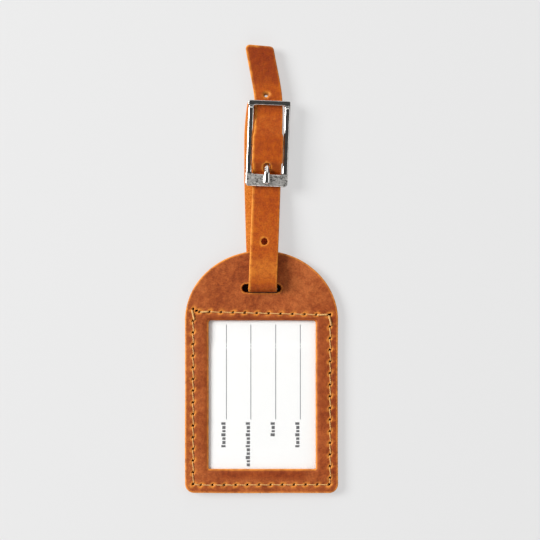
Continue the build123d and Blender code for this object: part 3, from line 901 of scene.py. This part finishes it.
def strap_wear_and_painted_shade(flat, depth):
    """The tip has darkened in use; painted shade darkens the strap just below the buckle's upper bar and
    where it dives into the slot.
    """
    s = flat[:, 0]
    worn_tip = 0.85 * smooth((tip_hole_s - 2.0 - s) / 6)
    # painted shade just below the buckle's upper bar
    painted_shade_under_bar = 0.45 * smooth(1 - np.abs(s - tip_hole_s - 6.5) / 3)
    # the last term is painted shade where the strap curves down into the slot
    return worn_tip + painted_shade_under_bar + 0.6 * smooth(1 - np.abs(s - slot_s) / 5)


def flesh_painted_shade(flat, depth):
    """Painted shade on the flesh side of the back run, where the strap's lower hole uncovers it."""
    under_hole_s = slot_s + LOWER_HOLE_Y - SLOT_RUN_Y + 1.5
    return smooth(2 * (1.3 - np.hypot(flat[:, 0] - under_hole_s, flat[:, 1] - 2.0) / 2.2))


def strap_shade(flat, depth):
    """Dark inner walls of the tip's hole."""
    s, w = flat[:, 0], flat[:, 1]
    return 0.75 * smooth(2 * (1.2 - np.hypot((s - tip_hole_s) / 1.0, (w - TIP_HOLE_W) / 1.35)))


def round_hole(s, w, along, across):
    turns = np.linspace(0, 2 * np.pi, 28, endpoint=False)
    return [(s + along * math.cos(a), w + across * math.sin(a)) for a in turns]


def strap_width(s):
    """Half the strap's width: it spreads a little where it bulges over the buckle."""
    height = np.interp(s, lengths, side[:, 1])
    over_buckle = smooth((height - 8.4) / 0.6) * (s < strap_at(140))
    return 6.45 - 0.1 * smooth((60 - s) / 50) + 0.55 * over_buckle


tip_hole_s = strap_at(TIP_HOLE_Y)
prong_hole_s = [strap_at(y) for y in PRONG_HOLE_Y]
lower_hole_s = strap_at(LOWER_HOLE_Y)
split_s = strap_at(SPLIT_Y)


def strap_outline(start, end, tip):
    """The outline of a length of strap. A tip is cut aslant and has rounded corners."""
    steps = np.arange(start + (TIP_REACH if tip else 0.0), end + 0.01, 0.45)
    half = strap_width(start)
    points = [(s, -strap_width(s)) for s in steps]
    points += [(end, w) for w in np.arange(-strap_width(end) + 0.5, strap_width(end) - 0.2, 0.5)]
    points += [(s, strap_width(s)) for s in steps[::-1]]
    if tip:
        right_corner = (start + 2 * half * TIP_SLANT, half)
        corners = [(steps[0], half), right_corner, (start, -half), (steps[0], -half)]
        points += [tuple(p) for p in rounded_line(corners, [TIP_CORNER] * 2, 0.25)[1:-1]]
    else:
        points += [(start, w) for w in np.arange(half - 0.5, -half + 0.2, -0.5)]
    return points


half = PRONG_HOLE_HALF_WIDTH
prong_slot = rounded_box(prong_hole_s[1], prong_hole_s[0], -half, half, (1.6,) * 4, 0.25)
half = NOTCH_HALF_WIDTH
notch_s = STRAP_LENGTH - NOTCH_FROM_END
fold_notch = rounded_box(notch_s + NOTCH_ENDS[0], notch_s + NOTCH_ENDS[1], -half, half, (1.2,) * 4, 0.3)
lower_hole = round_hole(lower_hole_s, 0.0, *LOWER_HOLE_RADII)
along, across = TIP_HOLE_OFFSET
tip_hole = round_hole(tip_hole_s + along, TIP_HOLE_W + across, *TIP_HOLE_RADII)


def strap_piece(name, start, end, tip, holes):
    """A length of the strap, grain outwards."""
    made = plate(
        name, strap_outline(start, end, tip), holes, (0.12, 0.28, 0.5), 0.75, [],
        strap_shape, along_strap, (STRAP_GRAIN, FLESH, CUT),
        {"rim": strap_rim, "stain_and_shade": strap_wear_and_painted_shade, "slit": strap_shade, "flesh_painted_shade": flesh_painted_shade},
    )
    return made


tip = strap_piece("strap_tip_leather", 0, split_s, True, [tip_hole])
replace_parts(tip, "strap_tip", "strap_tip_bend")
loop_holes = [prong_slot, lower_hole, fold_notch]
loop = strap_piece("strap_loop_leather", split_s, STRAP_LENGTH, False, loop_holes)
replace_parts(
    loop, "strap_slot", "strap_front_bend", "strap_back_bend", "strap_front", "strap_back", "strap_turned_end"
)


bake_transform(tip)
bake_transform(loop)


# ---- thread ----


def skin(rings, sides):
    """The faces round and at both ends of a row of rings, each with the same number of points."""
    faces = []
    for i in range(rings - 1):
        for k in range(sides):
            n = (k + 1) % sides
            faces.append((i * sides + k, i * sides + n, (i + 1) * sides + n, (i + 1) * sides + k))
    faces.append(tuple(range(sides))[::-1])
    faces.append(tuple((rings - 1) * sides + k for k in range(sides)))
    return faces


def tube(points, radius, lay, sides=12):
    """A twisted thread along points, with closed ends. Returns its vertices and faces."""
    points = np.array(points, float)
    tangents = unit(np.gradient(points, axis=0))
    twist = 2 * np.pi * travelled(points) / lay
    guide = np.array([0.3, 0.2, 1.0])
    vertices = []
    for i, (p, t) in enumerate(zip(points, tangents)):
        a = np.cross(t, guide)
        a /= np.linalg.norm(a)
        b = np.cross(t, a)
        pinch = 0.35 if i in (0, len(points) - 1) else 1.0
        for k in range(sides):
            angle = 2 * np.pi * k / sides
            ridge = 1 + 0.13 * math.cos(THREAD_PLIES * (angle - twist[i]))
            r = radius * ridge * pinch
            vertices.append(p + a * r * math.cos(angle) + b * r * math.sin(angle))
    return vertices, skin(len(points), sides)


def joined(name, parts, material, smoothed=True):
    """One object from several lists of vertices and faces."""
    vertices, faces = [], []
    for more_vertices, more_faces in parts:
        start = len(vertices)
        vertices += list(more_vertices)
        faces += [tuple(i + start for i in f) for f in more_faces]
    return new_object(name, vertices, faces, [material], smoothed)


def stitch(a, b, surface, sign, lift, slant, radius=THREAD_RADIUS):
    """One stitch from hole a to hole b, rising out of the leather and sinking at both ends."""
    a, b = np.array(a), np.array(b)
    along = (b - a) / np.linalg.norm(b - a)
    across = np.array([-along[1], along[0]])
    points = []
    length = np.linalg.norm(b - a)
    start = STITCH_START / length
    for t in np.linspace(start, 1 - start, 34):
        flat = a + (b - a) * t + across * slant * (1 - 2 * t)
        inward = min(t, 1 - t) * length
        drop = STITCH_END_DROP * (1 - smooth((inward + 0.05) / 0.95))
        rise = lift * smooth((inward - 0.6) / 0.4) - drop
        points.append((*flat, surface + sign * rise))
    return tube(points, radius, THREAD_LAY)


for side_name, row in ROWS.items():
    holes = row_holes(row)
    parts = []
    back_surface = TOP_ROW_BACK_Z if side_name == "top" else BACK_STITCH_Z
    slant = COLUMN_SLANT if side_name in COLUMNS else ROW_SLANT
    for i, (a, b) in enumerate(zip(holes, holes[1:])):
        parts.append(stitch(a, b, FRONT_TOP_Z - 0.06, 1, 0.14, slant))
        parts.append(stitch(a, b, back_surface, -1, 0.02, -slant * 0.6))
        if i in DOUBLED.get(side_name, ()):
            parts.append(stitch(a, b, FRONT_TOP_Z + 0.12, 1, 0.2, slant - 0.3, 0.42))
    row_thread = joined("thread_" + side_name + "_stitches", parts, THREAD)
    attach(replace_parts(row_thread, "thread_" + side_name), "tag")


def in_buckle(points):
    """Buckle-frame millimetres to tag millimetres."""
    points = np.asarray(points, float).reshape(-1, 3)
    c, s = math.cos(BUCKLE_TURN), math.sin(BUCKLE_TURN)
    x = BUCKLE_CENTRE[0] + points[:, 0] * c - points[:, 1] * s
    y = BUCKLE_CENTRE[1] + points[:, 0] * s + points[:, 1] * c
    return np.stack([x, y, points[:, 2]], 1)


def fold_stitch(x, z, rise):
    """The arched middle of a stitch in the fold, in the buckle's frame."""
    return [
        (x + FOLD_STITCH_LENGTH * t, FOLD_STITCH_Y, z + rise * math.sin(math.pi * t))
        for t in np.linspace(0, 1, 12)
    ]


fold_parts = []
low_z, inner_z, high_z = FOLD_STITCH_Z
for x in FOLD_STITCH_X:
    path = [(x, FOLD_STITCH_Y, inner_z)] + fold_stitch(x, high_z, 0.3)
    path += [(x + FOLD_STITCH_LENGTH, FOLD_STITCH_Y, inner_z)]
    fold_parts.append(tube(in_buckle(path), FOLD_STITCH_RADIUS, 1.4))
    fold_parts.append(tube(in_buckle(fold_stitch(x, low_z, -0.15)), FOLD_STITCH_RADIUS, 1.4))
fold_thread = joined("fold_stitches", fold_parts, THREAD)
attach(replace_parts(fold_thread, "fold_thread"), "loop")


# ---- card and window sheet ----


def cuboid(x0, x1, y0, y1, z0, z1):
    vertices = [(x, y, z) for z in (z0, z1) for y in (y0, y1) for x in (x0, x1)]
    faces = [(0, 2, 3, 1), (4, 5, 7, 6), (0, 1, 5, 4), (1, 3, 7, 5), (3, 2, 6, 7), (2, 0, 4, 6)]
    return vertices, faces


def card_lift(x, y):
    """The card bulges up under the window and falls away along its right edge and its top."""
    bulge = CARD_RISE + CARD_BULGE * smooth((70 - y) / 5)
    return bulge * smooth((x + 28) / 3) - 0.55 * bulge * smooth((x - 18.5) / 9)


def card_shape(x, y, depth):
    lift = card_lift(x, y)
    return CARD_BOX[5] + lift, CARD_BOX[4] + lift


card_outline = rounded_box(*CARD_BOX[:4], (0.6,) * 4, 1.0)
card = plate(
    "address_card_stock", card_outline, [], (0.3,), 1.6, [], card_shape, flat_place, (CARD,) * 3
)
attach(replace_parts(card, "address_card"), "card")


def printed(x0, x1, y0, y1):
    """A printed rectangle that follows the card."""
    count = max(1, int((y1 - y0) / 1.5))
    parts = []
    for i in range(count):
        low, high = y0 + (y1 - y0) * i / count, y0 + (y1 - y0) * (i + 1) / count
        base = CARD_BOX[5] + float(card_lift(x0, (low + high) / 2))
        parts.append(cuboid(x0, x1, low, high, base - INK_THICKNESS, base + INK_THICKNESS))
    return parts


# each line has a label of small plain blocks, which stand for its printed words
line_parts, label_parts = [], []
for x, length in zip(LINE_XS, LABEL_LENGTHS):
    line_parts += printed(x - LINE_HALF_WIDTH, x + LINE_HALF_WIDTH, *LINE_Y)
    foot = x - LABEL_FROM_LINE
    y, k = LABEL_TOP_Y, 0
    while y - LETTER_SIZES[k % 4] > LABEL_TOP_Y - length:
        tall = 1.5 if k % 3 else 1.95
        label_parts += printed(foot - tall, foot, y - LETTER_SIZES[k % 4], y)
        y -= LETTER_SIZES[k % 4] + LETTER_GAP
        k += 1
lines = joined("card_lines", line_parts, LINE_INK, smoothed=False)
labels = joined("card_labels", label_parts, LABEL_INK, smoothed=False)
for ink in (lines, labels):
    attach(ink, "card")

film = joined("window_film", [cuboid(*FILM_BOX)], FILM, smoothed=False)
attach(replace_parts(film, "window_sheet"), "tag")


# ---- buckle ----


def buckle_shape(x, y, depth):
    """Two rounded rails, a flat bar at each end and a groove where each rail meets the upper bar."""
    from_upper_bar = y - BUCKLE_HALF_LENGTH + UPPER_BAR_DEPTH
    lower_bar = smooth((-(y + BUCKLE_HALF_LENGTH) + LOWER_BAR_DEPTH + 0.3) / 0.6)
    upper_bar = smooth((from_upper_bar + 0.2) / 0.3)
    rail = (1 - lower_bar) * (1 - upper_bar)
    upper = RAIL_TOP_Z - JOINT_DEPTH * smooth(1 - np.abs(from_upper_bar + JOINT_FROM_BAR) / 0.7)
    upper -= rounding(depth, RAIL_ROUNDING) * rail
    upper -= rounding(depth, LOWER_BAR_ROUNDING) * lower_bar
    upper -= rounding(depth, UPPER_BAR_ROUNDING) * upper_bar
    lower = RAIL_BOTTOM_Z + rounding(depth, 0.9) * (1 - lower_bar) + rounding(depth, 0.5) * lower_bar
    end_bar = (y > INNER_TOP - 0.05) | (y < INNER_BOTTOM + 0.05)
    between = np.abs(x) < INNER_HALF_WIDTH + 0.05
    raised = END_BAR_BOTTOM_Z + rounding(depth, 0.45)
    return upper, np.where(end_bar & between, raised, lower)


def buckle_place(x, y, height):
    return in_buckle(np.stack([x, y, height], 1))


w, h = BUCKLE_HALF_WIDTH, BUCKLE_HALF_LENGTH
buckle_outline = rounded_box(-w, w, -h, h, BUCKLE_CORNERS, 0.3)
w = INNER_HALF_WIDTH
buckle_opening = rounded_box(-w, w, INNER_BOTTOM, INNER_TOP, (BUCKLE_INNER_CORNER,) * 4, 0.3)
buckle = plate(
    "buckle_frame_nickel", buckle_outline, [buckle_opening], (0.06, 0.14, 0.26, 0.42, 0.6), 0.45, [],
    buckle_shape, buckle_place, (POLISHED,) * 3,
)
# the lower bar's upper face is worn
buckle.data.materials.append(WORN)
c, s = math.cos(BUCKLE_TURN), math.sin(BUCKLE_TURN)
for polygon in buckle.data.polygons:
    x, y, z = polygon.center
    local_y = -(x / MM - BUCKLE_CENTRE[0]) * s + ((y - TAG_BOTTOM_Y) / MM - BUCKLE_CENTRE[1]) * c
    if local_y < INNER_BOTTOM and polygon.normal.z > 0.8:
        polygon.material_index = 3
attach(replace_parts(buckle, "buckle_frame"), "buckle")


def centre_bar(sides=24):
    """A round bar along X with softened ends."""
    end, r = BAR_HALF_LENGTH, BAR_RADIUS
    rings = [(-end, r * 0.8), (-end + 0.2, r), (end - 0.2, r), (end, r * 0.8)]
    vertices = []
    for x, r in rings:
        for k in range(sides):
            angle = 2 * np.pi * k / sides
            vertices.append((x, BAR_Y + r * math.cos(angle), BAR_Z + r * math.sin(angle)))
    return in_buckle(vertices), skin(len(rings), sides)


bar = joined("buckle_centre_bar_nickel", [centre_bar()], POLISHED)
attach(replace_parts(bar, "buckle_centre_bar"), "buckle")


def prong_mesh():
    """A strip curled round the bar and drawn out into a half-round shaft with a squared tip."""
    sections = [
        (BAR_Y - RING_RADIUS * math.sin(a), BAR_Z + RING_RADIUS * math.cos(a), PRONG_HALF_WIDTH, 0.5)
        for a in np.linspace(-4.2, -0.25, 18)
    ]
    root_end, rest_start, tip_y = PRONG_LINE_Y
    shaft_points = [(BAR_Y - 0.1, PRONG_ROOT_Z + 0.1), (root_end, PRONG_ROOT_Z)]
    shaft_points += [(rest_start, PRONG_REST_Z), (tip_y, PRONG_REST_Z)]
    for y, z in rounded_line(shaft_points, [4.0, 4.0])[1:]:
        wide = PRONG_HALF_WIDTH + 0.3 * smooth((-y - 10) / 8)
        thick = 0.5 + 0.25 * smooth((BAR_Y - y) / 3)
        sections.append((y, z, wide, thick))
    sections.append((tip_y - 0.15, PRONG_REST_Z - 0.1, 1.25, 0.5))
    middle = np.array([(0, y, z) for y, z, _, _ in sections])
    direction = unit(np.gradient(middle, axis=0))
    across = np.array([1.0, 0, 0])
    sides = 20
    vertices = []
    for p, t, (_, _, wide, thick) in zip(middle, direction, sections):
        up = np.cross(across, t)
        for k in range(sides):
            angle = 2 * np.pi * k / sides
            u = math.copysign(abs(math.cos(angle)) ** 0.9, math.cos(angle))
            v = math.copysign(abs(math.sin(angle)) ** 1.15, math.sin(angle))
            vertices.append(p + across * wide * u + up * thick * v)
    return in_buckle(vertices), [face[::-1] for face in skin(len(middle), sides)]


prong = joined("buckle_prong_nickel", [prong_mesh()], POLISHED)
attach(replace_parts(prong, "buckle_prong"), "prong")


# ---- floor, light, camera ----

scene = bpy.context.scene
floor_corners = [(FLOOR_SIZE * x, FLOOR_SIZE * y, 0) for x, y in ((-1, -1), (1, -1), (1, 1), (-1, 1))]
floor_mesh = bpy.data.meshes.new("floor")
floor_mesh.from_pydata(floor_corners, [], [(0, 1, 2, 3)])
floor = bpy.data.objects.new("floor", floor_mesh)
scene.collection.objects.link(floor)
floor_glow = {"Emission Color": (1, 1, 1, 1), "Emission Strength": FLOOR_GLOW}
floor_material = Nodes("floor_grey").surface(
    (FLOOR_GREY, FLOOR_GREY, FLOOR_GREY, 1), 0.9, {**floor_glow, "Specular IOR Level": 0.1}
)
floor_mesh.materials.append(floor_material)

world = bpy.data.worlds.new("studio")
scene.world = world
world.use_nodes = True
background = world.node_tree.nodes["Background"]
background.inputs["Color"].default_value = (1, 1, 1, 1)
background.inputs["Strength"].default_value = WORLD_LIGHT


def side_light(name, bearing, size, power):
    """A soft square light aimed at the object, at a bearing round it in degrees from +X."""
    turn = math.radians(bearing)
    flat = LIGHT_DISTANCE * math.sin(LIGHT_TILT)
    place = (flat * math.cos(turn), flat * math.sin(turn), LIGHT_DISTANCE * math.cos(LIGHT_TILT))
    data = bpy.data.lights.new(name, "AREA")
    data.size = size
    data.energy = power
    light = bpy.data.objects.new(name, data)
    light.location = place
    light.rotation_mode = "QUATERNION"
    light.rotation_quaternion = (-Vector(place)).to_track_quat("-Z", "Y")
    scene.collection.objects.link(light)


for light_name, values in LIGHTS.items():
    side_light(light_name, *values)

camera_data = bpy.data.cameras.new("camera")
camera_data.sensor_width = SENSOR
camera_data.lens = LENS
camera = bpy.data.objects.new("camera", camera_data)
camera_height = FRAME_WIDTH * LENS / SENSOR + FRONT_TOP_Z
camera.location = (CAMERA_X * MM, CAMERA_Y * MM, camera_height * MM)
scene.collection.objects.link(camera)
scene.camera = camera
camera_data.clip_start = 0.01

scene.view_settings.view_transform = "Standard"
